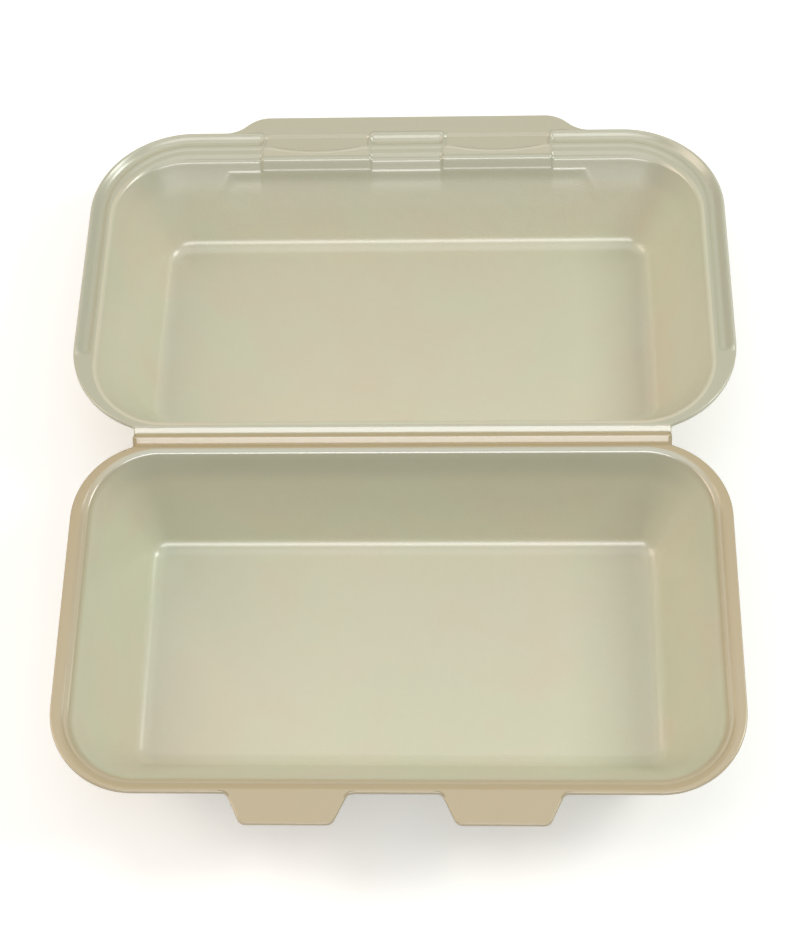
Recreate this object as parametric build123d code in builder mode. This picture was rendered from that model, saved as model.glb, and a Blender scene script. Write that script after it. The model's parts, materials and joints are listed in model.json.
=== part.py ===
from build123d import *
import os
from math import asin, atan, atan2, cos, degrees, hypot, radians, sin, tan

# Hinged foam food box, lying open on its two floors.
# The origin is the centre of the base's underside, X runs along the hinge,
# Y points from the base to the lid and Z is up.

# Foam sheet
wall_thickness = 2.3
rim_thickness = 2.2

# Base
base_length = 240.0
base_corner = 30.5
base_side_rim = 6.2
base_front_rim = 4.8
base_rear_rim = 4.4
base_cavity_width = 125.9
base_cavity_corner = 25.0
base_cavity_depth = 39.3
base_draft = 26.0
shoulder_width = 3.4
shoulder_drop = 0.8

# Lid
lid_length = 251.8
lid_corner = 39.3
lid_side_rim = 9.6
lid_front_rim = 13.9
lid_rear_rim = 4.2
lid_cavity_width = 126.0
lid_cavity_corner = 28.0
lid_cavity_depth = 33.7
lid_draft = 29.4

# Roundings and bevels shared by both halves
floor_fillet = 6.4
mouth_chamfer = 0.7
edge_chamfer = 0.35

# Hinge: two crimped folds with a bead between them
hinge_length = 199.2
hinge_notch_fillet = 1.8
crimp_web = 0.2
crimp_clearance = 0.15
bead_height = 1.9
bead_fillet = 0.2
closed_rim_gap = 0.4

# Lock tabs on the base's front rim
tab_spacing = 73.0
tab_root_width = 41.4
tab_tip_width = 31.0
tab_reach = 11.0
tab_tip_fillet = 3.0
tab_root_fillet = 2.5

# Lip and groove of the lid's rim
groove_inset = 5.6
groove_width = 4.8
groove_depth = 1.7
groove_draft = 42.0
lip_width = 3.0
lip_height = 0.9
lip_draft = 45.0
rim_run_start = 36.0

# Second, shallow groove on the ridge along the lid's front
ridge_groove_inset = 10.0
ridge_groove_width = 1.6
ridge_groove_depth = 0.35
ridge_groove_draft = 45.0
ridge_groove_turn = 45.0

# Slots for the tabs, each a pocket in the rim with a curved lance cut along its inner side
slot_width = 42.6
slot_end_gap = 0.6
pocket_inset = 1.4
pocket_depth = 0.6
pocket_corner = 1.6
cut_length = 38.0
cut_inset = 7.2
cut_sag = 2.3
cut_opening = 0.7
sill_reach = 0.9

# Lifting flap on the lid's front rim
flap_corner_gap = 12.1
flap_shoulder = 18.5
flap_reach = 7.9

# Shallow panel pressed into the hinge-side wall of the base and the front wall of the lid
panel_top_width = 144.0
panel_drop = 3.2
panel_height = 16.0
panel_leg_angle = 27.0
panel_depth = 0.5

# Sizes that follow
crimp_depth = rim_thickness - crimp_web
fold_spacing = 2 * crimp_depth + closed_rim_gap
outer_floor_fillet = floor_fillet + wall_thickness

base_height = base_cavity_depth + wall_thickness
base_wall_across = wall_thickness / cos(radians(base_draft))
base_cavity_length = base_length - 2 * base_side_rim
shoulder_run = shoulder_width + shoulder_drop * tan(radians(base_draft))
base_front = -base_cavity_width / 2 - base_front_rim
base_fold = base_cavity_width / 2 + base_rear_rim
fold_height = base_height - crimp_depth

lid_wall_across = wall_thickness / cos(radians(lid_draft))
lid_outer_depth = lid_cavity_depth + wall_thickness
lid_cavity_length = lid_length - 2 * lid_side_rim
lid_cavity_middle = lid_rear_rim + lid_cavity_width / 2
lid_cavity_front = lid_rear_rim + lid_cavity_width
lid_front = lid_cavity_front + lid_front_rim

flap_root = lid_length / 2 - lid_corner - flap_corner_gap
flap_tip = flap_root - flap_shoulder

panel_foot_width = panel_top_width + 2 * panel_height * tan(radians(panel_leg_angle))
panel_slope = degrees(atan(panel_depth / panel_height))

# The lid is shallower than the base, so it droops until its front floor edge meets the table.
# Its lowest point lies on the outer rounding between its floor and its front wall.
lid_floor_edge = (
    lid_cavity_front + lid_wall_across - lid_outer_depth * tan(radians(lid_draft))
)
rounding_y = lid_floor_edge - outer_floor_fillet / tan(radians(45 + lid_draft / 2))
rounding_drop = lid_outer_depth - crimp_depth - outer_floor_fillet
droop = degrees(
    asin((fold_height - outer_floor_fillet) / hypot(rounding_y, rounding_drop))
    - atan2(rounding_drop, rounding_y)
)

# Rim planes: the base's is level, the lid's is turned about its own fold
base_rim = Plane.XY.offset(base_height)
lid_fold = Plane(
    origin=(0, base_fold + fold_spacing, fold_height),
    x_dir=(1, 0, 0),
    z_dir=(0, sin(radians(droop)), cos(radians(droop))),
)
lid_rim = lid_fold.offset(crimp_depth)
lid_up = Axis(lid_fold.origin, lid_fold.z_dir)


def panel_plane(rim, mouth, draft):
    """Face of the pressed panel: it leaves the wall at the panel's foot, and its Y points down."""
    down_wall = panel_drop + panel_height
    foot = rim.from_local_coords(
        (0, mouth - down_wall * sin(radians(draft)), -down_wall * cos(radians(draft)))
    )
    lean = radians(draft + panel_slope)
    return Plane(
        origin=foot,
        x_dir=rim.x_dir,
        z_dir=rim.y_dir * cos(lean) - rim.z_dir * sin(lean),
    )


def notch_corners(sketch, fold_y):
    """Inner corners of the two notches beside the hinge."""
    ends = sketch.vertices().filter_by(lambda v: abs(abs(v.X) - hinge_length / 2) < 0.01)
    return ends.sort_by(lambda v: abs(v.Y - fold_y))[-2:]


def rim_runs(inset, width):
    """Round-ended strokes along the lid's rim: one on each side of the slots and one between."""
    across = lid_front - inset
    beside = -lid_length / 2 + inset
    slot_edge = slot_width / 2 + slot_end_gap + width / 2
    with BuildSketch() as runs:
        with BuildLine():
            FilletPolyline(
                (beside, rim_run_start),
                (beside, across),
                (-tab_spacing / 2 - slot_edge, across),
                radius=lid_corner - inset,
            )
            offset(amount=width / 2)
        make_face()
        mirror(about=Plane.YZ)
        with Locations((0, across)):
            SlotCenterToCenter(tab_spacing - 2 * slot_edge, width)
    return runs.sketch


def ridge_runs():
    """Strokes along the ridge: round each front corner up to a slot, and between the slots."""
    across = lid_front - ridge_groove_inset
    slot_edge = slot_width / 2 + slot_end_gap + ridge_groove_width / 2
    corner_middle = (-lid_length / 2 + lid_corner, lid_front - lid_corner)
    with BuildSketch() as runs:
        with BuildLine():
            bend = CenterArc(
                corner_middle, lid_corner - ridge_groove_inset, 90, ridge_groove_turn
            )
            Line(bend @ 0, (-tab_spacing / 2 - slot_edge, across))
            offset(amount=ridge_groove_width / 2)
        make_face()
        mirror(about=Plane.YZ)
        with Locations((0, across)):
            SlotCenterToCenter(tab_spacing - 2 * slot_edge, ridge_groove_width)
    return runs.sketch


def lance_arc(middle, shift=0.0):
    """Curved line of a slot's cut, moved inwards by shift at its middle only."""
    across = lid_front - cut_inset
    return ThreePointArc(
        (middle - cut_length / 2, across),
        (middle, across - cut_sag - shift),
        (middle + cut_length / 2, across),
    )


def pockets():
    """Flattened pockets outside the slots' cuts."""
    across = lid_front - cut_inset
    outer = lid_front - pocket_inset
    with BuildSketch() as outlines:
        for middle in (-tab_spacing / 2, tab_spacing / 2):
            with BuildLine():
                cut = lance_arc(middle)
                FilletPolyline(
                    cut @ 0,
                    (middle - slot_width / 2, across),
                    (middle - slot_width / 2, outer),
                    (middle + slot_width / 2, outer),
                    (middle + slot_width / 2, across),
                    cut @ 1,
                    radius=pocket_corner,
                )
            make_face()
    return outlines.sketch


def lance_cuts():
    """Narrow curved openings that the tabs push through."""
    with BuildSketch() as openings:
        for middle in (-tab_spacing / 2, tab_spacing / 2):
            with BuildLine():
                lance_arc(middle, cut_opening / 2)
                lance_arc(middle, -cut_opening / 2)
            make_face()
    return openings.sketch


# Base: its flat rim, with the two lock tabs in one sheet with it
with BuildPart() as base:
    with BuildSketch(base_rim) as base_outline:
        with Locations((0, (base_front + base_fold) / 2)):
            RectangleRounded(base_length, base_fold - base_front, base_corner)
        with Locations((0, base_fold)):
            Rectangle(hinge_length, base_corner / 2, align=(Align.CENTER, Align.MAX))
        with Locations(
            (-tab_spacing / 2, base_front - tab_reach / 2),
            (tab_spacing / 2, base_front - tab_reach / 2),
        ):
            Trapezoid(
                tab_root_width,
                tab_reach,
                degrees(atan2(tab_reach, (tab_root_width - tab_tip_width) / 2)),
                rotation=180,
            )
        fillet(notch_corners(base_outline, base_fold), hinge_notch_fillet)
        fillet(base_outline.vertices().group_by(Axis.Y)[0], tab_tip_fillet)
        tab_roots = base_outline.vertices().filter_by(
            lambda v: abs(v.Y - base_front) < 0.01
            and abs(v.X) < (tab_spacing + tab_root_width) / 2 + 0.01
        )
        fillet(tab_roots, tab_root_fillet)
    extrude(amount=-rim_thickness)
    rim_faces = base.faces().filter_by(Axis.Z)
    chamfer(rim_faces.edges(), edge_chamfer)

    # Floor and walls: a drafted block with its lower edge rounded
    with BuildSketch(base_rim):
        RectangleRounded(
            base_cavity_length + 2 * base_wall_across,
            base_cavity_width + 2 * base_wall_across,
            base_cavity_corner + base_wall_across,
        )
    extrude(amount=-base_height, taper=base_draft)
    fillet(base.faces().sort_by(Axis.Z)[0].edges(), outer_floor_fillet)

    # Back of the pressed panel, a sheet's thickness behind its face
    base_panel = panel_plane(base_rim, base_cavity_width / 2, base_draft)
    with BuildSketch(base_panel) as panel_outline:
        with BuildLine():
            Polyline(
                (-panel_foot_width / 2, 0),
                (panel_foot_width / 2, 0),
                (panel_top_width / 2, -panel_height),
                (-panel_top_width / 2, -panel_height),
                close=True,
            )
        make_face()
    extrude(amount=wall_thickness)

    # Cavity, with the face of the pressed panel
    with BuildSketch(base_rim):
        RectangleRounded(base_cavity_length, base_cavity_width, base_cavity_corner)
    extrude(amount=-base_cavity_depth, taper=base_draft, mode=Mode.SUBTRACT)
    with BuildSketch(base_panel):
        add(panel_outline.sketch_local)
    extrude(amount=-2 * panel_depth, mode=Mode.SUBTRACT)
    cavity_floor = base.faces().filter_by(Axis.Z).group_by(Axis.Z)[1]
    fillet(cavity_floor.edges(), floor_fillet)
    rim_top = base.faces().filter_by(Axis.Z).group_by(Axis.Z)[-1].sort_by(SortBy.AREA)[-1]
    chamfer(rim_top.inner_wires()[0].edges(), mouth_chamfer)

    # Shoulder that slopes from the rim's flat edge down to the walls, at the front and sides
    with BuildSketch(base_rim):
        with Locations((0, -shoulder_width / 2)):
            RectangleRounded(
                base_cavity_length + 2 * shoulder_width,
                base_cavity_width + shoulder_width,
                base_cavity_corner + shoulder_width,
            )
    extrude(
        amount=-2 * shoulder_drop,
        taper=degrees(atan2(shoulder_run, shoulder_drop)),
        mode=Mode.SUBTRACT,
    )

    # Half of the crimped fold along the hinge side
    with BuildSketch(
        Plane(origin=(0, base_fold, fold_height), x_dir=(0, -1, 0), z_dir=(-1, 0, 0))
    ) as crimp_cut:
        with BuildLine():
            Polyline(
                (crimp_clearance, -crimp_depth),
                (crimp_clearance, 0),
                (crimp_clearance + crimp_depth, crimp_depth),
                (-crimp_depth, crimp_depth),
                (-crimp_depth, -crimp_depth),
                close=True,
            )
        make_face()
    extrude(amount=hinge_length, both=True, mode=Mode.SUBTRACT)

# Hinge strip: the bead left standing between the two crimped folds
with BuildPart() as hinge_strip:
    with BuildSketch(
        Plane(origin=(0, base_fold + fold_spacing / 2, fold_height), x_dir=(0, 1, 0), z_dir=(1, 0, 0))
    ) as bead_section:
        foot = fold_spacing / 2 - crimp_clearance
        crest = foot - bead_height
        with BuildLine():
            Polyline(
                (-foot, -crimp_web),
                (foot, -crimp_web),
                (foot, 0),
                (crest, bead_height),
                (-crest, bead_height),
                (-foot, 0),
                close=True,
            )
        make_face()
        fillet(bead_section.vertices().group_by(Axis.Y)[-1], bead_fillet)
    extrude(amount=hinge_length / 2, both=True)

# Lid: its flat rim, with the lifting flap in one sheet with it
with BuildPart() as lid:
    with BuildSketch(lid_rim) as lid_outline:
        with Locations((0, lid_front / 2)):
            RectangleRounded(lid_length, lid_front, lid_corner)
        Rectangle(hinge_length, lid_corner / 2, align=(Align.CENTER, Align.MIN))
        with BuildLine():
            root_bend = TangentArc(
                (-flap_root, lid_front),
                (-flap_root + flap_shoulder / 2, lid_front + flap_reach / 2),
                tangent=(1, 0),
            )
            tip_bend = TangentArc(
                root_bend @ 1, (-flap_tip, lid_front + flap_reach), tangent=root_bend % 1
            )
            Line(tip_bend @ 1, (0, lid_front + flap_reach))
            Line((0, lid_front), root_bend @ 0)
            mirror(about=Plane.YZ)
        make_face()
        fillet(notch_corners(lid_outline, 0), hinge_notch_fillet)
    extrude(amount=-rim_thickness)
    chamfer(lid.faces().sort_by(lid_up)[0].edges(), edge_chamfer)

    # Under side of the rim's groove, a sheet's thickness outside the groove itself
    sheet_across = rim_thickness / cos(radians(groove_draft))
    with BuildSketch(lid_rim):
        add(rim_runs(groove_inset, groove_width + 2 * sheet_across))
    extrude(amount=-groove_depth - rim_thickness, taper=groove_draft)
    with BuildSketch(lid_rim):
        add(pockets())
    extrude(amount=-pocket_depth - rim_thickness)

    # Floor and walls
    with BuildSketch(lid_rim):
        with Locations((0, lid_cavity_middle)):
            RectangleRounded(
                lid_cavity_length + 2 * lid_wall_across,
                lid_cavity_width + 2 * lid_wall_across,
                lid_cavity_corner + lid_wall_across,
            )
    extrude(amount=-lid_outer_depth, taper=lid_draft)
    fillet(lid.faces().sort_by(lid_up)[0].edges(), outer_floor_fillet)

    # Back of the pressed panel
    lid_panel = panel_plane(lid_rim, lid_cavity_front, lid_draft)
    with BuildSketch(lid_panel):
        add(panel_outline.sketch_local)
    extrude(amount=wall_thickness)

    # Cavity, with the face of the pressed panel
    with BuildSketch(lid_rim):
        with Locations((0, lid_cavity_middle)):
            RectangleRounded(lid_cavity_length, lid_cavity_width, lid_cavity_corner)
    extrude(amount=-lid_cavity_depth, taper=lid_draft, mode=Mode.SUBTRACT)
    with BuildSketch(lid_panel):
        add(panel_outline.sketch_local)
    extrude(amount=-2 * panel_depth, mode=Mode.SUBTRACT)
    lid_floor = lid.faces().filter_by(lid_up).group_by(lid_up)[1]
    fillet(lid_floor.edges(), floor_fillet)
    lid_mouth = lid.faces().filter_by(lid_up).group_by(lid_up)[-1].sort_by(SortBy.AREA)[-1]
    chamfer(lid_mouth.inner_wires()[0].edges(), mouth_chamfer)

    # Sills along the inner side of the slots
    with BuildSketch(lid_rim):
        with Locations(
            (-tab_spacing / 2, lid_cavity_front), (tab_spacing / 2, lid_cavity_front)
        ):
            Rectangle(slot_width, 2 * sill_reach)
    extrude(amount=-rim_thickness)

    # Ridge line, groove and lip of the rim
    with BuildSketch(lid_rim):
        add(ridge_runs())
    extrude(amount=-ridge_groove_depth, taper=ridge_groove_draft, mode=Mode.SUBTRACT)
    with BuildSketch(lid_rim):
        add(rim_runs(groove_inset, groove_width))
    extrude(amount=-groove_depth, taper=groove_draft, mode=Mode.SUBTRACT)
    with BuildSketch(lid_rim):
        add(rim_runs(lip_width / 2, lip_width))
    extrude(amount=lip_height, taper=lip_draft)

    # Slot pockets and the lance cuts along them
    with BuildSketch(lid_rim):
        add(pockets())
    extrude(amount=-pocket_depth, mode=Mode.SUBTRACT)
    with BuildSketch(lid_rim):
        add(lance_cuts())
    extrude(amount=-lid_outer_depth / 2, mode=Mode.SUBTRACT)

    # Half of the crimped fold along the hinge side
    with BuildSketch(Plane(origin=lid_fold.origin, x_dir=lid_fold.y_dir, z_dir=(1, 0, 0))):
        add(crimp_cut.sketch_local)
    extrude(amount=hinge_length, both=True, mode=Mode.SUBTRACT)

os.makedirs("parts", exist_ok=True)
base.part.label = "base"
export_step(base.part, "parts/base.step")
hinge_strip.part.label = "hinge_strip"
export_step(hinge_strip.part, "parts/hinge_strip.step")
lid.part.label = "lid"
export_step(lid.part, "parts/lid.step")
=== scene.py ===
import json
import math
import bmesh
import bpy
import numpy as np
from mathutils import Matrix, Vector


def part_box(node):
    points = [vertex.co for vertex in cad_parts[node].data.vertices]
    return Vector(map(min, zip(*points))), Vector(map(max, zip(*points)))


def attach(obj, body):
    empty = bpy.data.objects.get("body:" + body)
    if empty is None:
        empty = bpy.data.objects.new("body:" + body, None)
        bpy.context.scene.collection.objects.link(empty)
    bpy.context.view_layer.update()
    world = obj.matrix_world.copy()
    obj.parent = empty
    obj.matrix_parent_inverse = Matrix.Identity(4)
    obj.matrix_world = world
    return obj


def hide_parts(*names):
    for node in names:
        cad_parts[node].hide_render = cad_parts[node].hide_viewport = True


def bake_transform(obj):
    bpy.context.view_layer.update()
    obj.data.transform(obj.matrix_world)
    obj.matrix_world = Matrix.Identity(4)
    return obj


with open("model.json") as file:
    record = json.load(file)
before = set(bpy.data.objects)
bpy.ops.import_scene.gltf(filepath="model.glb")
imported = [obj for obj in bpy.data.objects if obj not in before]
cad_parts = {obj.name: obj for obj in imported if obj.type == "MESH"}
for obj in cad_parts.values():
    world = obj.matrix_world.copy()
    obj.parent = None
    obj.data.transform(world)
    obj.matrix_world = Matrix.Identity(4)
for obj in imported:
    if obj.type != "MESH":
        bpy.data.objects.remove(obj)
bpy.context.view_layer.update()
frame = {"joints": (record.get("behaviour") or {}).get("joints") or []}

# Foam skin
# The whole box is one sheet of expanded polystyrene with a thin, smooth skin on both faces.
# Its cream colour wanders between a greenish and a pinkish tone, it is tanner where the
# rims are pressed thin, and the cells under the skin break its satin sheen into specks.
# Painted shade: a darker, greyer cream is laid high on the inner walls, most on the far walls, and it also
# tones the lid's rim and edge darker.
cream = (0.645, 0.625, 0.475)
green_cream = (0.600, 0.635, 0.460)
pink_cream = (0.665, 0.585, 0.445)
pressed_tan = (0.420, 0.322, 0.155)
# Painted shade colour for the inner walls, also used to tone the lid's rim and edge darker.
shade_and_rim_cream = (0.430, 0.430, 0.310)
mottle_span = 0.055
cell_size = 0.0007


class Wire:
    """One output of a material's node. Arithmetic on wires adds Math nodes."""

    def __init__(self, finish, socket):
        self.finish, self.socket = finish, socket

    def _math(self, operation, *values):
        settings = {"operation": operation}
        return self.finish.node("ShaderNodeMath", settings, dict(enumerate(values)))

    def __add__(self, other):
        return self._math("ADD", self, other)

    def __sub__(self, other):
        return self._math("SUBTRACT", self, other)

    def __rsub__(self, other):
        return self._math("SUBTRACT", other, self)

    def __mul__(self, other):
        return self._math("MULTIPLY", self, other)

    __radd__ = __add__
    __rmul__ = __mul__


class Finish:
    """A node material: node() adds a node with its settings and inputs, and gives its output."""

    def __init__(self, name):
        self.material = bpy.data.materials.new(name)
        self.material.use_nodes = True
        self.tree = self.material.node_tree
        self.tree.nodes.clear()

    def node(self, kind, settings, inputs, output=0):
        made = self.tree.nodes.new(kind)
        for key, value in settings.items():
            setattr(made, key, value)
        for key, value in inputs.items():
            if isinstance(value, Wire):
                self.tree.links.new(value.socket, made.inputs[key])
            else:
                made.inputs[key].default_value = value
        return Wire(self, made.outputs[output]) if made.outputs else None

    def noise(self, place, size, detail, roughness=0.5):
        """Noise from 0 to 1 whose features are about size metres across."""
        inputs = {"Vector": place, "Scale": 1 / size, "Detail": detail, "Roughness": roughness}
        return self.node("ShaderNodeTexNoise", {}, inputs, "Fac")

    def between(self, value, low, high, start=0.0, end=1.0):
        """value carried smoothly from the range low..high to start..end."""
        inputs = {"Value": value, "From Min": low, "From Max": high, "To Min": start, "To Max": end}
        return self.node("ShaderNodeMapRange", {"interpolation_type": "SMOOTHSTEP"}, inputs)

    def blend(self, share, first, second):
        """Colour between first and second."""
        inputs = {0: share, 6: (*first, 1) if isinstance(first, tuple) else first}
        inputs[7] = (*second, 1) if isinstance(second, tuple) else second
        return self.node("ShaderNodeMix", {"data_type": "RGBA"}, inputs, 2)


def foam_skin():
    finish = Finish("foam_skin")
    place = finish.node("ShaderNodeTexCoord", {}, {}, "Object")
    pressed = finish.node("ShaderNodeAttribute", {"attribute_name": "pressed"}, {}, "Fac")
    # How much of the darker cream a point takes: painted shade on the walls, a darker tone on the lid's rim
    # and edge.
    shade_and_rim_tone = finish.node("ShaderNodeAttribute", {"attribute_name": "shade_and_rim_tone"}, {}, "Fac")

    green = finish.between(finish.noise(place, mottle_span, 2), 0.42, 0.60)
    shifted = finish.node("ShaderNodeVectorMath", {"operation": "ADD"}, {0: place, 1: (0.31, 0.17, 0.53)})
    pink = finish.between(finish.noise(shifted, mottle_span, 2), 0.45, 0.62)
    blotches = finish.between(finish.noise(shifted, mottle_span / 4, 3), 0.45, 0.65)
    colour = finish.blend(green * 0.55, cream, green_cream)
    colour = finish.blend(pink * 0.5 + blotches * 0.25, colour, pink_cream)
    colour = finish.blend(pressed * 0.9, colour, pressed_tan)
    colour = finish.blend(shade_and_rim_tone, colour, shade_and_rim_cream)

    cells = finish.node("ShaderNodeTexVoronoi", {}, {"Vector": place, "Scale": 1 / cell_size}, "Distance")
    grain = finish.noise(place, cell_size * 0.8, 3, 0.6)
    flow = finish.noise(place, 0.009, 2)
    height = cells * 0.5 + grain * 0.6 + flow * 2.0
    bump = finish.node("ShaderNodeBump", {}, {"Strength": 0.6, "Distance": 0.00012, "Height": height})
    sheen_breaks = finish.between(grain, 0.35, 0.7, 0.40, 0.60)
    shader = finish.node(
        "ShaderNodeBsdfPrincipled",
        {},
        {
            "Base Color": colour,
            "Roughness": sheen_breaks,
            "Normal": bump,
            "Coat Weight": pressed * 0.5 + shade_and_rim_tone * 0.5 + 0.4,
            "Coat Roughness": 0.28,
            "Coat IOR": 2.1,
        },
    )
    finish.node("ShaderNodeOutputMaterial", {}, {"Surface": shader})
    return finish.material


foam = foam_skin()

# Base tray
# The lower half, drawn hot from the sheet into a deep tray whose walls lean out, with a
# flat rim. Two lock tabs are die-cut in one with the front of the rim, and the rim's rear
# edge is crimped down to the thin web of the fold.
MM = 0.001
tab_reach = 11.0
tab_root_width = 41.4
tab_tip_width = 31.0
tab_spacing = 73.0
base_corner = 30.5
base_mouth = {"half_length": 113.8, "low": -62.95, "high": 62.95, "corner": 25.0}
shoulder_width = 3.4
shoulder_drop = 0.8
base_depth = 39.3
base_draft = math.radians(26.0)
wall_thickness = 2.3
rim_thickness = 2.2
mouth_radius = 1.8
floor_radius = 6.4
hinge_half = 99.6
crimp_depth = 2.0
crimp_clearance = 0.15
crimp_rounding = 0.45
edge_round = 0.6
base_panel_top = 3.2
panel_height = 16.0
panel_depth = 0.25
panel_half_width = 72.0
panel_splay = math.radians(27.0)


def eased(low, high, value):
    """0 below low and 1 above high, with a smooth rise between."""
    share = np.clip((value - low) / (high - low), 0, 1)
    return share * share * (3 - 2 * share)


def bent(points, radii, steps=8, stride=2.0):
    """The line through points with an arc at each inner one, in steps no longer than stride."""
    points = np.array(points, float)
    line = [points[0]]
    for before, corner, after, radius in zip(points, points[1:], points[2:], radii):
        back = (before - corner) / np.linalg.norm(before - corner)
        ahead = (after - corner) / np.linalg.norm(after - corner)
        half = math.acos(back @ ahead) / 2
        middle = corner + (back + ahead) / np.linalg.norm(back + ahead) * radius / math.sin(half)
        start = corner + back * radius / math.tan(half) - middle
        end = corner + ahead * radius / math.tan(half) - middle
        turn = math.pi - 2 * half
        for share in np.linspace(0, 1, steps + 1):
            spoke = math.sin((1 - share) * turn) * start + math.sin(share * turn) * end
            line.append(middle + spoke / math.sin(turn))
    line.append(points[-1])
    fine = [line[0]]
    for here, there in zip(line, line[1:]):
        count = max(1, math.ceil(np.linalg.norm(there - here) / stride))
        fine += [here + (there - here) * k / count for k in range(1, count + 1)]
    return np.array(fine)


def columns_round(near, near_corner, side, far_corner, far):
    """Where the mesh's columns stand round a rounded rectangle, anticlockwise from its near left.
    Each has its place along the straights, from -1 to 1 each way, and the angle it faces."""
    stand = [
        *((x, -1, -90) for x in near),
        *((1, -1, angle) for angle in near_corner),
        *((1, y, 0) for y in side),
        *((1, 1, angle) for angle in far_corner),
        *((x, 1, 90) for x in far[::-1]),
        *((-1, 1, 180 - angle) for angle in far_corner[::-1]),
        *((-1, y, 180) for y in side[::-1]),
        *((-1, -1, 180 - angle) for angle in near_corner[::-1]),
    ]
    across, along, facing = np.array(stand, float).T
    return across, along, np.radians(facing)


def ring(columns, half_length, low, high, corner, inset=0.0):
    """Points of one rounded rectangle, drawn in by inset, at the columns."""
    across, along, facing = columns
    radius = corner - inset
    x = across * (half_length - corner) + radius * np.cos(facing)
    y = (low + high) / 2 + along * ((high - low) / 2 - corner) + radius * np.sin(facing)
    return np.stack([x, y], axis=1)


def inset_of(points, half_length, low, high, corner):
    """How far points lie inside a rounded rectangle."""
    x = np.abs(points[:, 0]) - (half_length - corner)
    y = np.abs(points[:, 1] - (low + high) / 2) - ((high - low) / 2 - corner)
    outside = np.hypot(np.maximum(x, 0), np.maximum(y, 0))
    return corner - outside - np.minimum(np.maximum(x, y), 0)


def outward(outline):
    """Outward directions of a closed outline that runs anticlockwise."""
    along = np.roll(outline, -1, axis=0) - np.roll(outline, 1, axis=0)
    along /= np.linalg.norm(along, axis=1)[:, None]
    return np.stack([along[:, 1], -along[:, 0]], axis=1)


def crimp(points, fold, half_width):
    """How far the rim is pressed down towards its fold, within the hinge's width."""
    reach = np.maximum(crimp_depth + crimp_clearance + crimp_rounding - np.abs(points[:, 1] - fold), 0)
    drop = np.where(
        reach < 2 * crimp_rounding, reach**2 / (4 * crimp_rounding), reach - crimp_rounding
    )
    return np.minimum(drop, crimp_depth) * (1 - eased(half_width, half_width + 1.2, np.abs(points[:, 0])))


def shoulder(points):
    """How far the inner part of the base's rim slopes down towards the walls."""
    slope_start = {
        "half_length": base_mouth["half_length"] + shoulder_width,
        "low": base_mouth["low"] - shoulder_width,
        "high": base_mouth["high"],
        "corner": base_mouth["corner"] + shoulder_width,
    }
    run = np.maximum(inset_of(points, **slope_start) + 0.4, 0)
    return np.minimum(np.where(run < 0.8, run**2 / 1.6, run - 0.4) / shoulder_width, 1.0) * shoulder_drop


def refined(line, low, high, stride):
    """line with its part between two heights cut into steps no longer than stride."""
    fine = []
    for here, there in zip(line, line[1:]):
        inside = low < (here[1] + there[1]) / 2 < high
        count = max(1, math.ceil(np.linalg.norm(there - here) / stride)) if inside else 1
        fine += [here + (there - here) * k / count for k in range(count)]
    return np.array([*fine, line[-1]])


def panel_press(x, down, top, edge):
    """Depth of the shallow panel pressed into a wall, down the wall from its mouth. Its upper edge
    and its sides can stand a little proud of the wall."""
    beyond = np.abs(x) - panel_half_width - (down - top) * math.tan(panel_splay)
    within = np.minimum(down - top, -beyond)
    fade = np.clip((top + panel_height - down) / panel_height, 0, 1)
    sunk = eased(0, 5, within)
    return fade * (panel_depth * sunk - edge * eased(-0.8, 0, within) * (1 - sunk))


def toned(place, pressed=1.0, shade_and_rim_tone=0.0):
    """A ring's points with how thin the rim is pressed there and how much of the darker cream they take:
    painted shade on the walls and a darker tone on the lid's rim.
    """
    return place, np.full(len(place), pressed), np.full(len(place), shade_and_rim_tone)


def painted_wall_shade(facing, depth, height):
    """Painted shade on the inner walls and floor: strongest high on the far walls, fading down them to a
    lighter shade over the floor, and slight on the other walls.
    """
    down = -height / depth
    band = 0.4 * (1 - float(eased(0.18, 0.34, down))) + 0.6 * (1 - 0.5 * float(eased(0.1, 1.0, down)))
    floor = 0.2 * float(eased(0.93, 1.0, down))
    return (0.15 + 0.85 * np.clip(np.sin(facing), 0, 1) ** 2) * band + floor


def shell(name, rings, skip=(), walls=()):
    """A closed mesh of rings of (points, pressed, painted shade and rim tone): each is joined to the next,
    and the first and last are filled. skip leaves out faces, and walls adds faces between rings."""
    count = len(rings[0][0])
    faces = []
    for r in range(len(rings) - 1):
        for c in range(count):
            if (r, c) not in skip:
                n = (c + 1) % count
                faces.append((r * count + c, r * count + n, (r + 1) * count + n, (r + 1) * count + c))
    faces += [tuple(r * count + c for r, c in wall) for wall in walls]
    faces.append(tuple(range(count))[::-1])
    faces.append(tuple((len(rings) - 1) * count + c for c in range(count)))
    mesh = bpy.data.meshes.new(name)
    points, pressed, shade_and_rim_tone = (np.concatenate(values) for values in zip(*rings))
    mesh.from_pydata(points * MM, [], faces)
    for attribute, values in (("pressed", pressed), ("shade_and_rim_tone", shade_and_rim_tone)):
        kept = mesh.attributes.new(attribute, "FLOAT", "POINT")
        kept.data.foreach_set("value", values.astype(np.float32))
    made = bmesh.new()
    made.from_mesh(mesh)
    bmesh.ops.triangulate(made, faces=[face for face in made.faces if len(face.verts) > 4])
    bmesh.ops.remove_doubles(made, verts=made.verts, dist=2e-7)
    bmesh.ops.dissolve_degenerate(made, edges=made.edges, dist=2e-7)
    made.to_mesh(mesh)
    made.free()
    mesh.shade_smooth()
    piece = bpy.data.objects.new(name, mesh)
    bpy.context.scene.collection.objects.link(piece)
    piece.data.materials.append(foam)
    return piece


base_low, base_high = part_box("base")
base_rim = {
    "half_length": base_high.x / MM,
    "low": base_low.y / MM + tab_reach,
    "high": base_high.y / MM,
    "corner": base_corner,
}
base_top = base_high.z / MM
base_fold = frame["joints"][0]["pos_m"][1] / MM

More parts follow.
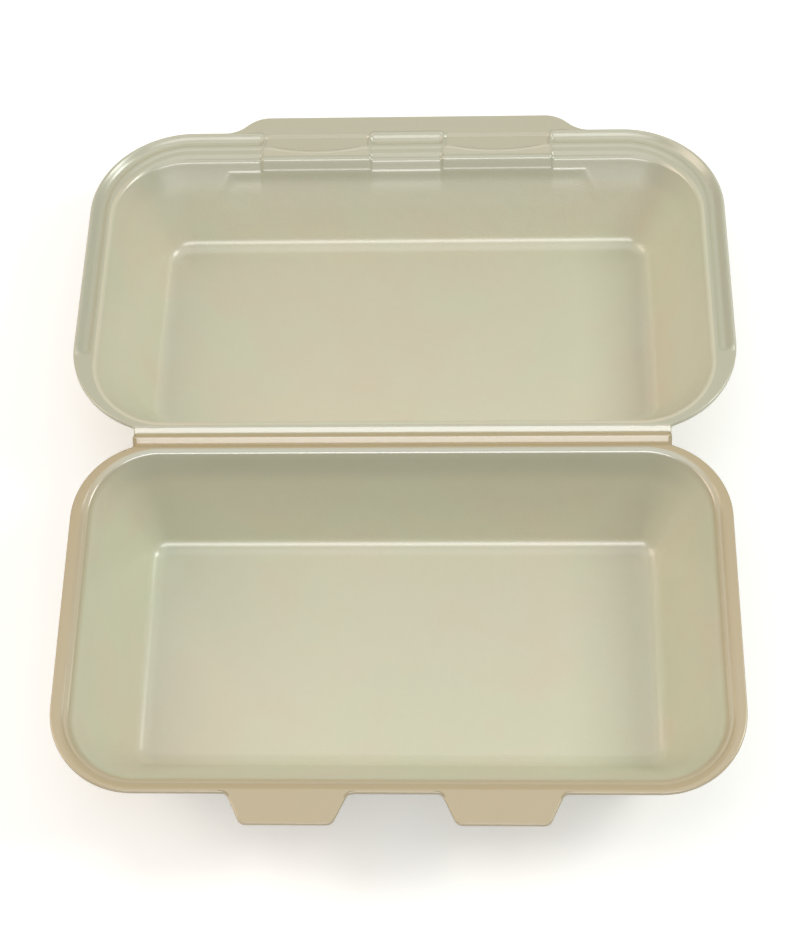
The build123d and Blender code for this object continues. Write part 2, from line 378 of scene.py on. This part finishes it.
# The tab's outline, from its left root to its right one, and where its columns meet the rim
root, tip = tab_root_width / 2, tab_tip_width / 2
tab_line = bent(
    [(-root - 3, 0), (-root, 0), (-tip, -tab_reach), (tip, -tab_reach), (root, 0), (root + 3, 0)],
    [2.5, 3.0, 3.0, 2.5],
    stride=0.9,
)
tab_steps = np.linalg.norm(np.diff(tab_line, axis=0), axis=1).cumsum()
tab_share = np.concatenate([[0], tab_steps]) / tab_steps[-1]
side_share = (3 + tab_reach) / tab_steps[-1]
tab_foot = np.interp(
    tab_share, [0, side_share, 1 - side_share, 1], [-root - 3, -tip + 1.5, tip - 1.5, root + 3]
)
straight = base_rim["half_length"] - base_corner
gap = tab_spacing / 2 - root - 3
near = np.concatenate(
    [
        np.linspace(-straight, -tab_spacing / 2 - root - 4.5, 12),
        tab_foot - tab_spacing / 2,
        np.linspace(-gap + 1.5, gap - 1.5, 14),
        tab_foot + tab_spacing / 2,
        np.linspace(tab_spacing / 2 + root + 4.5, straight, 12),
    ]
)
# The notch beside the hinge: the rim's corner runs into the hinge's square end
notch_turns = np.linspace(66.0, 77.0, 21)
hinge_side = np.concatenate([np.linspace(0, 70, 40)[:-1], np.linspace(70, 82, 25)])
hinge_side = np.concatenate([-hinge_side[:0:-1], hinge_side, [straight]])
hinge_side = np.concatenate([[-straight], hinge_side])
base_columns = columns_round(
    near / straight,
    np.linspace(-90, 0, 26)[1:-1],
    np.linspace(-1, 1, 26),
    np.concatenate([np.linspace(0, 66, 19)[1:-1], notch_turns, np.linspace(77, 90, 6)[1:-1]]),
    hinge_side / straight,
)


def notch(arc_start, hinge_edge, arc_end, steps):
    """Outline beside the hinge, in even steps: along the corner, out along the hinge's end, then in."""
    corner_meets = (hinge_half, arc_start[1] + (arc_end[1] - arc_start[1]) * 0.55)
    line = bent(
        [arc_start, corner_meets, (hinge_half, hinge_edge), (arc_end[0], hinge_edge)],
        [1.2, 0.35],
        stride=0.25,
    )
    run = np.concatenate([[0], np.linalg.norm(np.diff(line, axis=0), axis=1).cumsum()])
    even = np.linspace(0, run[-1], steps)
    return np.stack([np.interp(even, run, line[:, 0]), np.interp(even, run, line[:, 1])], axis=1)


base_outline = ring(base_columns, **base_rim)
base_normals = np.stack([np.cos(base_columns[2]), np.sin(base_columns[2])], axis=1)
rim_line = ring(base_columns, **base_rim, inset=edge_round)
shaped = np.zeros(len(base_outline), bool)
for middle in (-tab_spacing / 2, tab_spacing / 2):
    first = np.flatnonzero(np.isclose(near, tab_foot[0] + middle))[0]
    base_outline[first : first + len(tab_line)] = tab_line + (middle, base_rim["low"])
    shaped[first : first + len(tab_line)] = True
facing = np.degrees(base_columns[2])
corner_columns = np.flatnonzero((facing > 65.9) & (facing < 77.1) & (base_columns[0] == 1))
base_notch = notch(
    base_outline[corner_columns[0]], base_rim["high"], base_outline[corner_columns[-1]], len(corner_columns)
)
base_outline[corner_columns] = base_notch
mirrored = np.flatnonzero((facing > 102.9) & (facing < 114.1) & (base_columns[0] == -1))
base_outline[mirrored] = (base_notch * (-1, 1))[::-1]
hinge_columns = (facing > 76.9) & (facing < 103.1)
base_outline[hinge_columns, 1] = base_rim["high"]
shaped[corner_columns] = True
shaped[mirrored] = True
base_normals[shaped] = outward(base_outline)[shaped]
base_normals[hinge_columns] = (0, 1)


# 1 on the rear wall, fading out round its corners
base_faces_front = (base_columns[1] == 1) * np.sin(base_columns[2]) ** 8


def base_tray():
    wall_run = base_depth * math.tan(base_draft)
    wall_across = wall_thickness / math.cos(base_draft)
    outer_depth = base_depth + wall_thickness
    inner = bent(
        [(-1.6, 0), (0, 0), (wall_run, -base_depth), (wall_run + 4.4, -base_depth)],
        [mouth_radius, floor_radius],
        stride=1.2,
    )
    inner = refined(inner, -6.0, -1.8, 0.35)
    under = bent(
        [
            (-wall_across - 1.5, -rim_thickness),
            (rim_thickness * math.tan(base_draft) - wall_across, -rim_thickness),
            (outer_depth * math.tan(base_draft) - wall_across, -outer_depth),
            (outer_depth * math.tan(base_draft) + 3.6, -outer_depth),
        ],
        [1.0, floor_radius + wall_thickness],
        stride=2.5,
    )

    def top_height(points):
        return base_top - crimp(points, base_fold, hinge_half) - shoulder(points)

    def wall_ring(inset, height, pressed, outer):
        points = ring(base_columns, **base_mouth, inset=inset)
        down = np.full(len(points), -height / math.cos(base_draft))
        press = panel_press(points[:, 0], down, base_panel_top, 0.0) * base_faces_front
        points = points + press[:, None] * (0, math.cos(base_draft))
        z = base_top + height - press * math.sin(base_draft)
        if not outer:
            mouth = ring(base_columns, **base_mouth)
            z = z - shoulder(mouth) * (1 - eased(0.0, 6.0, -height))
        if height > -0.5:
            z = z - crimp(points, base_fold, hinge_half)
        # Painted shade on the inner walls and floor; the outer faces take none.
        shade_and_rim_tone = 0.0 if outer else painted_wall_shade(base_columns[2], base_depth, height)
        return toned(np.column_stack([points, z]), pressed, shade_and_rim_tone)

    rings = [wall_ring(inset, height, 0.35, True) for inset, height in under[::-1]]
    # Under the rim and the tabs, out to the edge, round it and back in on top
    under_start = ring(base_columns, **base_mouth, inset=under[0][0])
    edge = base_outline - base_normals * edge_round
    bottom = base_top - rim_thickness
    for share in np.linspace(1, 0, 5)[1:-1]:
        points = rim_line + (under_start - rim_line) * share
        rings.append(toned(np.column_stack([points, np.full(len(points), bottom)])))
    for share in np.linspace(0, 1, 8)[:-1]:
        points = rim_line + (edge - rim_line) * share
        rings.append(toned(np.column_stack([points, np.full(len(points), bottom)])))
    for inset, share in (
        (0.6, 0.0), (0.33, 0.03), (0.13, 0.12), (0.02, 0.28), (0, 0.5),
        (0.02, 0.72), (0.13, 0.88), (0.33, 0.97), (0.6, 1.0),
    ):
        points = base_outline - base_normals * inset
        z = bottom + (top_height(points) - bottom) * share
        rings.append(toned(np.column_stack([points, z])))
    for share in np.linspace(1, 0, 10)[1:]:
        points = rim_line + (edge - rim_line) * share
        rings.append(toned(np.column_stack([points, top_height(points)])))
    top_start = ring(base_columns, **base_mouth, inset=inner[0][0])
    for share in np.linspace(0, 1, 11)[1:-1]:
        points = rim_line + (top_start - rim_line) * share
        rings.append(toned(np.column_stack([points, top_height(points)])))
    for inset, height in inner:
        rings.append(wall_ring(inset, height, 1 - float(eased(-0.4, 2.0, inset)), False))
    return shell("base_tray", rings)


tray = base_tray()
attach(tray, "base")
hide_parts("base")

# Lid
# The upper half, shallower than the base and wider in its rim. A lip, a groove and two low
# ridges are pressed round its front and sides, cut off at the two slots that the tabs
# lock into, and a lifting flap stands out beyond the lip.
lid_length = 251.8
lid_front = 144.1
lid_corner = 39.3
lid_mouth = {"half_length": 116.3, "low": 4.2, "high": 130.2, "corner": 28.0}
lid_depth = 33.7
lid_draft = math.radians(29.4)
lip_height = 0.9
groove_depth = 1.35
run_start = 36.0
slot_half = 21.3
slot_gap = 0.35
pocket_depth = 0.8
pocket_inset = 1.9
cut_inset = 7.2
cut_half = 19.0
cut_sag = 2.3
cut_opening = 0.4
cut_bead = 0.3
lid_panel_top = 5.2
panel_bead = 0.08
relief_fade = 14.0
flap_root = 74.5
flap_shoulder = 18.5
flap_reach = 7.9
lid_edge = 0.5
rim_press = 0.12
rim_tone = 0.8
flap_press = 0.4
flap_tone = 0.6

lid_rim = {"half_length": lid_length / 2, "low": 0.15, "high": lid_front, "corner": lid_corner}
lid_straight = lid_length / 2 - lid_corner
slot_middle = tab_spacing / 2
far = np.concatenate(
    [
        np.linspace(0, slot_middle - slot_half - 2.2, 8)[:-1],
        np.linspace(slot_middle - slot_half - 2.2, slot_middle + slot_half + 2.2, 90)[:-1],
        np.linspace(slot_middle + slot_half + 2.2, 70, 7)[:-1],
        np.linspace(70, 82, 25),
        [lid_straight],
    ]
)
far = np.concatenate([-far[:0:-1], far])
lid_notch_turns = np.linspace(-78.0, -66.0, 21)
lid_columns = columns_round(
    np.linspace(-1, 1, 90),
    np.concatenate(
        [[-86, -82], lid_notch_turns, np.linspace(-66, -12, 19)[1:], np.linspace(-12, 0, 17)[1:-1]]
    ),
    np.concatenate([np.linspace(-1, -0.9, 4)[:-1], np.linspace(-0.9, 1, 20)]),
    np.linspace(0, 90, 34)[1:-1],
    far / lid_straight,
)


def shoulder_rise(run):
    """Height of the flap's shoulder at a run from its root: two equal arcs."""
    radius = (flap_shoulder**2 + flap_reach**2) / (4 * flap_reach)
    run = np.clip(run, 0, flap_shoulder)
    first = np.minimum(run, flap_shoulder - run)
    rise = radius - np.sqrt(radius**2 - first**2)
    return np.where(run < flap_shoulder / 2, rise, flap_reach - rise)


lid_outline = ring(lid_columns, **lid_rim)
lid_normals = np.stack([np.cos(lid_columns[2]), np.sin(lid_columns[2])], axis=1)
lid_rim_line = ring(lid_columns, **lid_rim, inset=lid_edge)
lid_facing = np.degrees(lid_columns[2])
front_columns = np.isclose(lid_facing, 90) & (lid_columns[1] == 1)
flap_columns = front_columns & (np.abs(lid_outline[:, 0]) < flap_root)
rise = shoulder_rise(flap_root - np.abs(lid_outline[:, 0]))
lid_outline[flap_columns, 1] += rise[flap_columns]
right = np.flatnonzero((lid_facing > -78.1) & (lid_facing < -65.9) & (lid_columns[0] == 1))
left = np.flatnonzero((lid_facing > 245.9) & (lid_facing < 258.1) & (lid_columns[0] == -1))
lid_notch = notch(lid_outline[right[-1]], lid_rim["low"], lid_outline[right[0]], len(right))[::-1]
lid_outline[right] = lid_notch
lid_outline[left] = (lid_notch * (-1, 1))[::-1]
lid_hinge = (lid_facing < -77.9) | (lid_facing > 257.9)
lid_outline[lid_hinge, 1] = lid_rim["low"]
lid_shaped = flap_columns.copy()
lid_shaped[right] = True
lid_shaped[left] = True
lid_normals[lid_shaped] = outward(lid_outline)[lid_shaped]
lid_normals[lid_hinge] = (0, -1)

fold_place = Vector(frame["joints"][1]["pos_m"]) / MM
droop = math.radians(frame["joints"][1]["range_deg"][1] - 90)


def in_place(points, height):
    """Points of the lid's own plane, height above its rim, turned about the fold to where it lies."""
    lift = height + crimp_depth
    y = fold_place.y + points[:, 1] * math.cos(droop) + lift * math.sin(droop)
    z = fold_place.z - points[:, 1] * math.sin(droop) + lift * math.cos(droop)
    return np.column_stack([points[:, 0], y, z])


def beside_slot(points):
    """Distance along the front from the nearer slot's middle, and whether a point is on the front."""
    return np.abs(np.abs(points[:, 0]) - slot_middle), points[:, 1] > lid_front - 16


def rim_relief(points, side):
    """Height of the lip, groove, ridges and pockets over the rim's plane. side is 1 on top and -1
    under it."""
    inset = inset_of(points, **lid_rim)
    from_slot, on_front = beside_slot(points)
    run = 1 - (1 - eased(slot_half + slot_gap, slot_half + slot_gap + 1.0, from_slot)) * on_front
    run = run * eased(run_start - 1.5, run_start + 1.5, points[:, 1])
    in_pocket = (1 - eased(slot_half - 0.5, slot_half + 0.1, from_slot)) * on_front
    corner_cut = np.maximum(from_slot - slot_half + 1.6, 0) * 0.6
    sag = cut_sag * np.clip(1 - (from_slot / cut_half) ** 2, 0, 1)
    pocket = in_pocket * eased(pocket_inset - 0.5, pocket_inset + 0.7, inset - corner_cut)
    pocket = pocket * (1 - eased(cut_inset + sag - 0.2, cut_inset + sag + 0.2, inset))
    if side < 0:
        return run * groove_depth * (eased(6.6, 9.2, inset) - eased(1.0, 3.4, inset)) - pocket_depth * pocket
    ridges = eased(lid_front - 34, lid_front - 14, points[:, 1])
    height = lip_height * eased(0.3, 1.1, inset) - (lip_height + groove_depth) * eased(1.1, 4.3, inset)
    height = height + groove_depth * eased(5.2, 7.4, inset)
    ridge = 0.1 * eased(5.6, 7.4, inset) - 0.45 * eased(8.0, 9.2, inset) - 0.8 * eased(10.9, 12.8, inset)
    height = run * (height + ridges * ridge) - pocket_depth * pocket
    from_bead = np.abs(inset - cut_inset - sag - 1.0)
    height = height + cut_bead * in_pocket * (1 - eased(0.1, 0.9, from_bead))
    return height - crimp(points, 0, hinge_half)


# 1 on the front wall, fading out round its corners
lid_faces_front = (lid_columns[1] == 1) * np.sin(lid_columns[2]) ** 8


def lid_shell():
    wall_run = lid_depth * math.tan(lid_draft)
    wall_across = wall_thickness / math.cos(lid_draft)
    outer_depth = lid_depth + wall_thickness
    inner = bent(
        [(-1.4, 0), (0, 0), (wall_run, -lid_depth), (wall_run + 6, -lid_depth)],
        [mouth_radius, floor_radius],
        stride=1.2,
    )
    inner = refined(inner, -6.0, -1.8, 0.35)
    under = bent(
        [
            (-wall_across, -rim_thickness),
            (rim_thickness * math.tan(lid_draft) - wall_across, -rim_thickness),
            (outer_depth * math.tan(lid_draft) - wall_across, -outer_depth),
            (outer_depth * math.tan(lid_draft) + 4.5, -outer_depth),
        ],
        [1.0, floor_radius + wall_thickness],
        stride=2.5,
    )

    def wall_ring(inset, height, pressed, side):
        points = ring(lid_columns, **lid_mouth, inset=inset)
        down = np.full(len(points), -height / math.cos(lid_draft))
        press = panel_press(points[:, 0], down, lid_panel_top, panel_bead) * lid_faces_front
        mouth = ring(lid_columns, **lid_mouth, inset=min(inset, 0.0))
        below_rim = -height - (0 if side > 0 else rim_thickness)
        relief = rim_relief(mouth, side) * (1 - float(eased(0.0, relief_fade, below_rim)))
        points = points + press[:, None] * (0, math.cos(lid_draft))
        z = height + relief - press * math.sin(lid_draft)
        # Painted shade on the inner walls and floor; the underside takes none.
        shade_and_rim_tone = painted_wall_shade(lid_columns[2], lid_depth, height) if side > 0 else 0.0
        return toned(in_place(points, z), pressed, shade_and_rim_tone)

    def rim_ring(share, start, side, cut_shift=0.0):
        """One ring of the rim, with the rings near the cuts bowed to follow them."""
        points = lid_rim_line + (start - lid_rim_line) * share
        inset = inset_of(points, **lid_rim)
        from_slot, on_front = beside_slot(points)
        bow = np.clip(1 - (from_slot / cut_half) ** 2, 0, 1) * on_front
        taper = eased(pocket_inset, cut_inset - 0.2, inset) * (1 - eased(cut_inset + 0.2, 12.5, inset))
        points = points - ((cut_sag * taper + cut_shift * cut_opening / 2) * bow)[:, None] * (0, 1)
        height = rim_relief(points, side) - (0 if side > 0 else rim_thickness)
        in_slot = (from_slot < slot_half) * on_front * (side > 0)
        in_pocket = in_slot * (inset < cut_inset + cut_sag * np.clip(1 - (from_slot / cut_half) ** 2, 0, 1))
        # The top of the rim takes the darker cream, a little less in the pockets and less again between the
        # cuts and the mouth; the pockets are pressed tanner.
        press = rim_press + 0.35 * in_pocket
        tone = (rim_tone - 0.2 * in_pocket - 0.3 * (in_slot * (in_pocket == 0))) * (side > 0)
        return toned(in_place(points, height), press, tone)

    def shares(start, near_cut, after_cut):
        """Ring places across the rim with one pair at the cut's edges."""
        width = lid_front - lid_edge - start[front_columns][0][1]
        cut = (cut_inset - lid_edge) / width
        half = 0.06 / width
        return np.linspace(0, cut - half, near_cut), np.linspace(cut + half, 1, after_cut)

    under_start = ring(lid_columns, **lid_mouth, inset=under[0][0])
    top_start = ring(lid_columns, **lid_mouth, inset=inner[0][0])
    edge = lid_outline - lid_normals * lid_edge

    rings = [wall_ring(inset, height, 0.35, -1) for inset, height in under[::-1]]
    outer, deeper = shares(under_start, 14, 9)
    for share in deeper[:0:-1]:
        rings.append(rim_ring(share, under_start, -1))
    under_cut = len(rings)
    rings.append(rim_ring(deeper[0], under_start, -1, 1))
    rings.append(rim_ring(outer[-1], under_start, -1, -1))
    for share in outer[-2:0:-1]:
        rings.append(rim_ring(share, under_start, -1))
    for share in np.linspace(0, 1, 7)[:-1]:
        points = lid_rim_line + (edge - lid_rim_line) * share
        rings.append(toned(in_place(points, rim_relief(points, -1) - rim_thickness), flap_press, flap_tone))
    for inset, share in (
        (0.5, 0.0), (0.28, 0.03), (0.11, 0.12), (0.02, 0.28), (0, 0.5),
        (0.02, 0.72), (0.11, 0.88), (0.28, 0.97), (0.5, 1.0),
    ):
        points = lid_outline - lid_normals * inset
        low, high = rim_relief(points, -1) - rim_thickness, rim_relief(points, 1)
        rings.append(toned(in_place(points, low + (high - low) * share), flap_press, flap_tone))
    for share in np.linspace(1, 0, 8)[1:]:
        points = lid_rim_line + (edge - lid_rim_line) * share
        rings.append(toned(in_place(points, rim_relief(points, 1)), flap_press, flap_tone))
    outer, deeper = shares(top_start, 22, 18)
    for share in outer[1:-1]:
        rings.append(rim_ring(share, top_start, 1))
    top_cut = len(rings)
    rings.append(rim_ring(outer[-1], top_start, 1, -1))
    rings.append(rim_ring(deeper[0], top_start, 1, 1))
    for share in deeper[1:-1]:
        rings.append(rim_ring(share, top_start, 1))
    for inset, height in inner:
        rings.append(wall_ring(inset, height, rim_press * (1 - float(eased(-0.4, 2.0, inset))), 1))

    # The cuts go right through: faces left out above and below, and walls between
    from_slot, on_front = beside_slot(lid_rim_line)
    open_columns = np.flatnonzero((from_slot < cut_half) & on_front)
    starts = [c for c in open_columns if c + 1 in open_columns]
    skip = {(r, c) for r in (under_cut, top_cut) for c in starts}
    walls = []
    for c in starts:
        walls.append(((top_cut, c), (top_cut, c + 1), (under_cut + 1, c + 1), (under_cut + 1, c)))
        walls.append(((top_cut + 1, c + 1), (top_cut + 1, c), (under_cut, c), (under_cut, c + 1)))
        if c - 1 not in starts:
            walls.append(((top_cut, c), (under_cut + 1, c), (under_cut, c), (top_cut + 1, c)))
        if c + 1 not in starts:
            walls.append(((top_cut, c + 1), (top_cut + 1, c + 1), (under_cut, c + 1), (under_cut + 1, c + 1)))
    return shell("lid_shell", rings, skip, walls)


lid = lid_shell()
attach(lid, "lid")
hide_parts("lid")

# Hinge bead
# The strip of sheet left standing between the two crimped folds. It is pressed to a rounded
# bead and swings as a link between base and lid.
bead_half_foot = 2.05
bead_height = 1.9
bead_web = 0.2


def hinge_bead():
    middle = (base_fold + fold_place.y) / 2
    section = bent(
        [
            (0, -bead_web), (bead_half_foot, -bead_web), (bead_half_foot, 0),
            (0.15, bead_height), (-0.15, bead_height), (-bead_half_foot, 0),
            (-bead_half_foot, -bead_web), (0, -bead_web),
        ],
        [0.06, 0.06, 0.35, 0.35, 0.06, 0.06],
        steps=5,
        stride=0.4,
    )[:-1]
    rings = []
    for x in np.linspace(-hinge_half, hinge_half, 120):
        shrink = 1 - 0.12 * eased(hinge_half - 0.5, hinge_half, abs(x))
        points = section * (shrink, shrink)
        place = np.column_stack([np.full(len(points), x), middle + points[:, 0], fold_place.z + points[:, 1]])
        rings.append(toned(place))
    return shell("hinge_bead", rings)


bead = hinge_bead()
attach(bead, "hinge_strip")
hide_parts("hinge_strip")

# Fold webs
# At the bottom of each crimp the sheet is pressed to a thin web, the living hinge itself.
# Each web is a flat strip joining the bead to its neighbour.
web_lap = 0.5
web_thickness = 0.16


def fold_web(name, fold):
    rows = np.linspace(-web_lap, web_lap, 13)
    section = [(y, 0.0) for y in rows] + [(y, -web_thickness) for y in rows[::-1]]
    rings = []
    for x in np.linspace(-hinge_half + 0.1, hinge_half - 0.1, 60):
        place = [(x, fold + y, fold_place.z + z - 0.02) for y, z in section]
        rings.append(toned(np.array(place)))
    web = shell(name, rings)
    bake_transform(web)


fold_web("base_web", base_fold)
fold_web("lid_web", fold_place.y)

# Studio
# A white table top that keeps the box's soft shadow, even white light all round, broad soft
# lamps overhead, to the left, right and behind, and a wide one in front that is seen only as
# the sheen on the rims and fillets.
scene = bpy.context.scene
scene.view_settings.view_transform = "Standard"

table = bpy.data.meshes.new("table_top")
table.from_pydata([(-4, -4, 0), (4, -4, 0), (4, 4, 0), (-4, 4, 0)], [], [(0, 1, 2, 3)])
table_top = bpy.data.objects.new("table_top", table)
scene.collection.objects.link(table_top)
table_finish = Finish("table_white")
seen = table_finish.node("ShaderNodeLightPath", {}, {}, "Is Camera Ray")
table_shader = table_finish.node(
    "ShaderNodeBsdfPrincipled",
    {},
    {
        "Base Color": (0.85, 0.85, 0.85, 1),
        "Roughness": 0.9,
        "Emission Color": table_finish.blend(seen, (0.0, 0.0, 0.0), (1.0, 1.0, 1.0)),
        "Emission Strength": 0.3,
    },
)
table_finish.node("ShaderNodeOutputMaterial", {}, {"Surface": table_shader})
table.materials.append(table_finish.material)

world = bpy.data.worlds.new("white_room")
scene.world = world
world.use_nodes = True
world.node_tree.nodes["Background"].inputs["Color"].default_value = (1, 1, 1, 1)
world.node_tree.nodes["Background"].inputs["Strength"].default_value = 0.47


def lamp(name, place, target, size, power, colour=(1, 1, 1)):
    light = bpy.data.lights.new(name, "AREA")
    light.shape = "RECTANGLE"
    light.size, light.size_y = size
    light.energy = power
    light.color = colour
    made = bpy.data.objects.new(name, light)
    made.location = place
    made.rotation_euler = (Vector(target) - Vector(place)).to_track_quat("-Z", "Y").to_euler()
    scene.collection.objects.link(made)
    return made


middle = (0, 0.07, 0.03)
lamp("overhead_lamp", (0, 0.07, 1.35), middle, (1.2, 1.2), 3.6)
lamp("right_lamp", (0.98, 0.17, 0.89), middle, (0.4, 0.4), 6.0, (0.97, 1.0, 0.93))
lamp("left_lamp", (-0.98, 0.07, 0.8), middle, (0.7, 0.7), 5.4, (1.0, 0.84, 0.68))
lamp("back_lamp", (0, 1.2, 0.65), middle, (0.7, 0.7), 0.4)
front_sheen = lamp("front_sheen", (0.1, -1.0, 0.84), middle, (1.4, 0.45), 10.0)
front_sheen.visible_diffuse = False

# Camera
# It looks down on the open box from the front, where the photograph was taken.
picture_width, picture_height = 800, 936
focal_pixels = 2020.1
centre_x, centre_y = 388.8, 451.7
yaw, pitch, roll = (math.radians(a) for a in (-5.272, 61.226, -4.849))
camera_place = Vector((28.526, -292.725, 692.072)) * MM

view = Vector((math.sin(yaw) * math.cos(pitch), math.cos(yaw) * math.cos(pitch), -math.sin(pitch)))
level = Vector((math.cos(yaw), -math.sin(yaw), 0))
upright = level.cross(view)
right_axis = level * math.cos(roll) + upright * math.sin(roll)
up_axis = upright * math.cos(roll) - level * math.sin(roll)
camera = bpy.data.cameras.new("camera")
camera.sensor_fit = "VERTICAL"
camera.sensor_height = 36.0
camera.lens = focal_pixels * camera.sensor_height / picture_height
camera.shift_x = (picture_width / 2 - centre_x) / picture_height
camera.shift_y = (centre_y - picture_height / 2) / picture_height
camera.clip_end = 20
camera_object = bpy.data.objects.new("camera", camera)
turned = Matrix((right_axis, up_axis, -view)).transposed().to_4x4()
camera_object.matrix_world = Matrix.Translation(camera_place) @ turned
scene.collection.objects.link(camera_object)
scene.camera = camera_object
